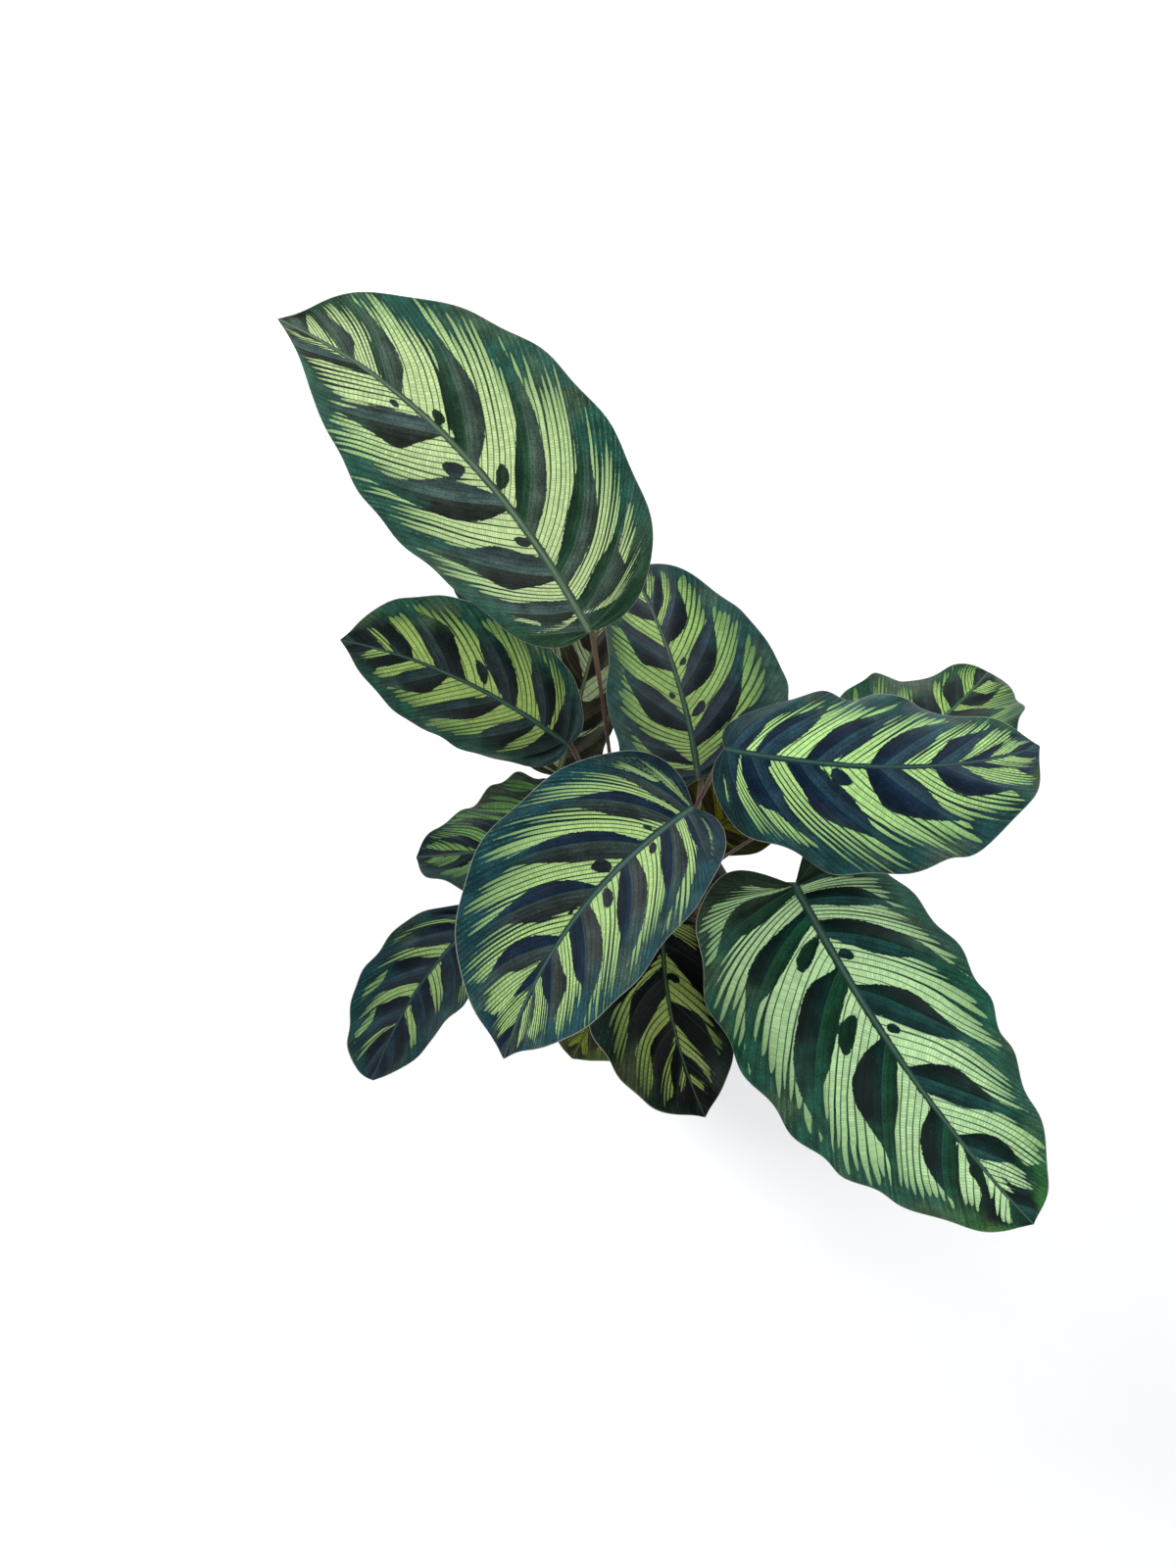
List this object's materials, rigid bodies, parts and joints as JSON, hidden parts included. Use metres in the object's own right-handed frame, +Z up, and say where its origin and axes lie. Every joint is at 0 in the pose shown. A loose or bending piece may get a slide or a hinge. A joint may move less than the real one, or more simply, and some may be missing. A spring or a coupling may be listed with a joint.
{
  "type": "potted peacock plant",
  "caption": "Potted foliage plant: waved oval leaves with dark and light feathered bands on long arching stalks over a round tapered nursery pot.",
  "frame": {"origin": "middle of the pot's flat underside, where the plant stands", "axes": "+Z up through the pot, -Y towards the viewer of the picture, +X to that viewer's right"},
  "size_m": [0.3213, 0.3394, 0.3785],
  "materials": {
    "pot": "satin",
    "soil": "matte",
    "stalk": "satin",
    "leaf": "satin"
  },
  "bodies": {
    "root": {"pot": "pot", "soil": "soil", "stalk_upper_left": "stalk", "leaf_upper_left": "leaf", "stalk_left": "stalk", "leaf_left": "leaf", "stalk_upper_middle": "stalk", "leaf_upper_middle": "leaf", "stalk_back_right": "stalk", "leaf_back_right": "leaf", "stalk_right": "stalk", "leaf_right": "leaf", "stalk_centre": "stalk", "leaf_centre": "leaf", "stalk_middle_left": "stalk", "leaf_middle_left": "leaf", "stalk_lower_left": "stalk", "leaf_lower_left": "leaf", "stalk_lower_middle": "stalk", "leaf_lower_middle": "leaf", "stalk_lower_right": "stalk", "leaf_lower_right": "leaf", "stalk_low_front": "stalk", "leaf_low_front": "leaf", "stalk_low_back": "stalk", "leaf_low_back": "leaf", "stalk_low_right": "stalk", "leaf_low_right": "leaf", "stalk_low_left": "stalk", "leaf_low_left": "leaf"}
  },
  "joints": []
}
